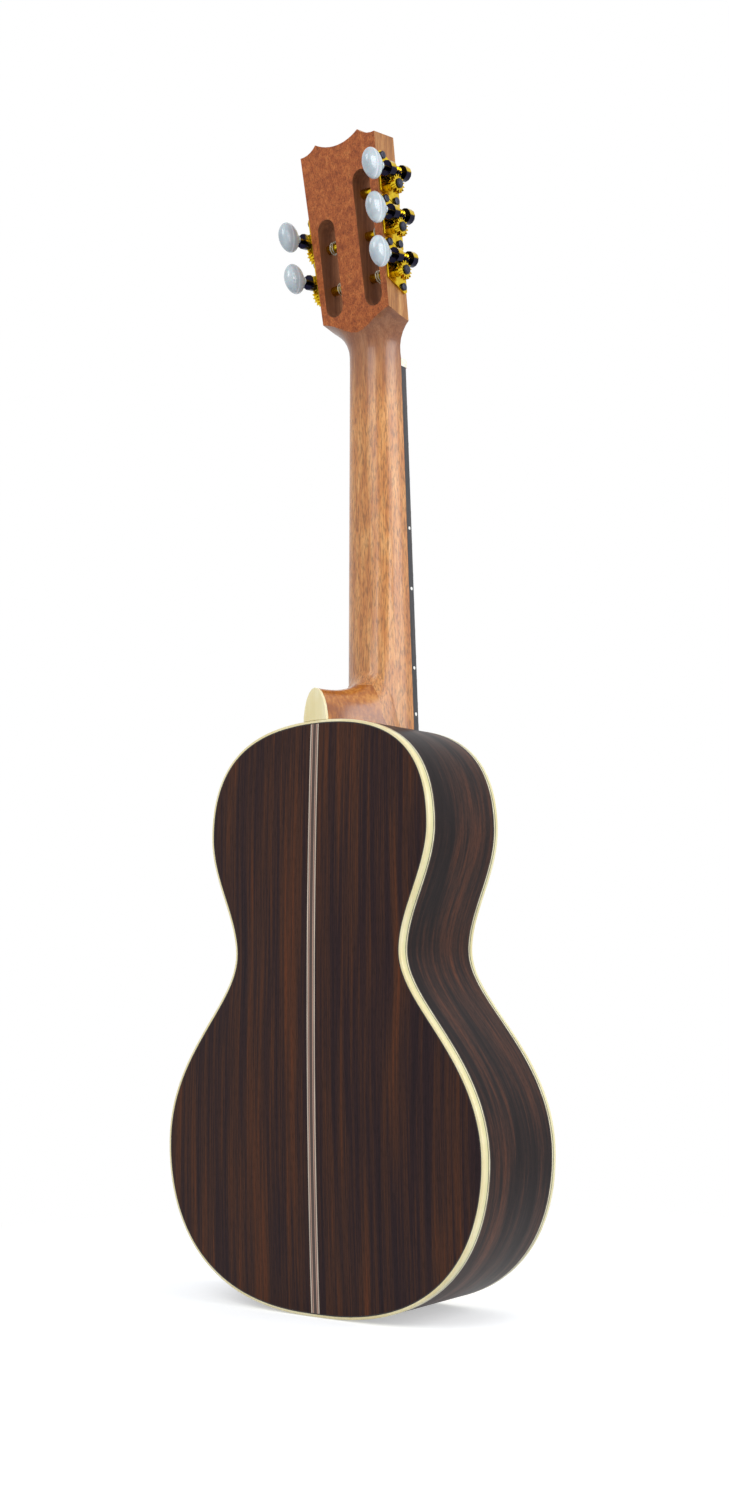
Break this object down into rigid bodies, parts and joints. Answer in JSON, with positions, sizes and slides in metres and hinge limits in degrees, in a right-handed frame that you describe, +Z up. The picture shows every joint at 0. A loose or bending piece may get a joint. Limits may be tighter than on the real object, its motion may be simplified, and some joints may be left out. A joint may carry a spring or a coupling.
{
  "type": "rajao",
  "caption": "Small fretted guitar, a rajao, with a slotted head, turning worm-gear tuners, a waisted rosewood body with pale binding, an arched back and a capped heel.",
  "frame": {"origin": "middle of the flat at the body's tail, halfway through the body's depth there, where the instrument stands", "axes": "+Z up from the tail along the neck, -Y out of the soundboard, +Y out of the back, +X to the treble side, whose head holds fewer tuners"},
  "size_m": [0.216, 0.0827, 0.6714],
  "materials": {
    "rosewood": "gloss",
    "cream_binding": "gloss",
    "spruce": "satin",
    "rosette_inlay": "gloss",
    "strip_inlay": "gloss",
    "neck_wood": "gloss",
    "ebony": "satin",
    "bone": "satin",
    "gold_plate": "polished",
    "dark_screw": "darkened",
    "pearl": "gloss",
    "nylon": "satin"
  },
  "bodies": {
    "instrument": {"back_bracing": "spruce", "back_left": "rosewood", "back_right": "rosewood", "back_strip": "strip_inlay", "binding_back": "cream_binding", "binding_front": "cream_binding", "bridge": "ebony", "bridge_patch": "spruce", "fingerboard": "ebony", "heel_cap": "cream_binding", "lining_back_left": "spruce", "lining_back_right": "spruce", "lining_front_left": "spruce", "lining_front_right": "spruce", "neck": "neck_wood", "neck_block": "spruce", "nut": "bone", "plate_bass_1": "gold_plate", "plate_bass_2": "gold_plate", "plate_bass_3": "gold_plate", "plate_treble_1": "gold_plate", "plate_treble_2": "gold_plate", "rosette": "rosette_inlay", "saddle": "bone", "side_left": "rosewood", "side_right": "rosewood", "soundboard": "spruce", "soundboard_bracing": "spruce", "string_1": "nylon", "string_2": "nylon", "string_3": "nylon", "string_4": "nylon", "string_5": "nylon", "tail_block": "spruce"},
    "key_bass_1": {"worm_bass_1": "gold_plate", "button_bass_1": "pearl"},
    "roller_bass_1": {"gear_bass_1": "gold_plate", "post_bass_1": "gold_plate", "gear_screw_bass_1": "dark_screw"},
    "key_bass_2": {"worm_bass_2": "gold_plate", "button_bass_2": "pearl"},
    "roller_bass_2": {"gear_bass_2": "gold_plate", "post_bass_2": "gold_plate", "gear_screw_bass_2": "dark_screw"},
    "key_bass_3": {"worm_bass_3": "gold_plate", "button_bass_3": "pearl"},
    "roller_bass_3": {"gear_bass_3": "gold_plate", "post_bass_3": "gold_plate", "gear_screw_bass_3": "dark_screw"},
    "key_treble_1": {"worm_treble_1": "gold_plate", "button_treble_1": "pearl"},
    "roller_treble_1": {"gear_treble_1": "gold_plate", "post_treble_1": "gold_plate", "gear_screw_treble_1": "dark_screw"},
    "key_treble_2": {"worm_treble_2": "gold_plate", "button_treble_2": "pearl"},
    "roller_treble_2": {"gear_treble_2": "gold_plate", "post_treble_2": "gold_plate", "gear_screw_treble_2": "dark_screw"}
  },
  "joints": [
    {"name": "key_turn_bass_1", "type": "hinge", "parent": "instrument", "child": "key_bass_1", "pos_m": [-0.03171, -0.0172, 0.59303], "axis": [0, 0.9877, -0.1564], "continuous": true},
    {"name": "roller_turn_bass_1", "type": "hinge", "parent": "instrument", "child": "roller_bass_1", "pos_m": [-0.02509, -0.01833, 0.58594], "axis": [0.9995, 0.0049, 0.0308], "continuous": true},
    {"name": "key_turn_bass_2", "type": "hinge", "parent": "instrument", "child": "key_bass_2", "pos_m": [-0.03249, -0.01329, 0.61772], "axis": [0, 0.9877, -0.1564], "continuous": true},
    {"name": "roller_turn_bass_2", "type": "hinge", "parent": "instrument", "child": "roller_bass_2", "pos_m": [-0.02587, -0.01442, 0.61063], "axis": [0.9995, 0.0049, 0.0308], "continuous": true},
    {"name": "key_turn_bass_3", "type": "hinge", "parent": "instrument", "child": "key_bass_3", "pos_m": [-0.03327, -0.00938, 0.64241], "axis": [0, 0.9877, -0.1564], "continuous": true},
    {"name": "roller_turn_bass_3", "type": "hinge", "parent": "instrument", "child": "roller_bass_3", "pos_m": [-0.02665, -0.01051, 0.63533], "axis": [0.9995, 0.0049, 0.0308], "continuous": true},
    {"name": "key_turn_treble_1", "type": "hinge", "parent": "instrument", "child": "key_treble_1", "pos_m": [0.03171, -0.0172, 0.59303], "axis": [0, 0.9877, -0.1564], "continuous": true},
    {"name": "roller_turn_treble_1", "type": "hinge", "parent": "instrument", "child": "roller_treble_1", "pos_m": [0.02509, -0.01833, 0.58594], "axis": [0.9995, -0.0049, -0.0308], "continuous": true},
    {"name": "key_turn_treble_2", "type": "hinge", "parent": "instrument", "child": "key_treble_2", "pos_m": [0.03249, -0.01329, 0.61772], "axis": [0, 0.9877, -0.1564], "continuous": true},
    {"name": "roller_turn_treble_2", "type": "hinge", "parent": "instrument", "child": "roller_treble_2", "pos_m": [0.02587, -0.01442, 0.61063], "axis": [0.9995, -0.0049, -0.0308], "continuous": true}
  ],
  "couplings": [
    {"joint": "roller_turn_bass_1", "follows": "key_turn_bass_1", "ratio": -0.071429},
    {"joint": "roller_turn_bass_2", "follows": "key_turn_bass_2", "ratio": -0.071429},
    {"joint": "roller_turn_bass_3", "follows": "key_turn_bass_3", "ratio": -0.071429},
    {"joint": "roller_turn_treble_1", "follows": "key_turn_treble_1", "ratio": -0.071429},
    {"joint": "roller_turn_treble_2", "follows": "key_turn_treble_2", "ratio": -0.071429}
  ]
}
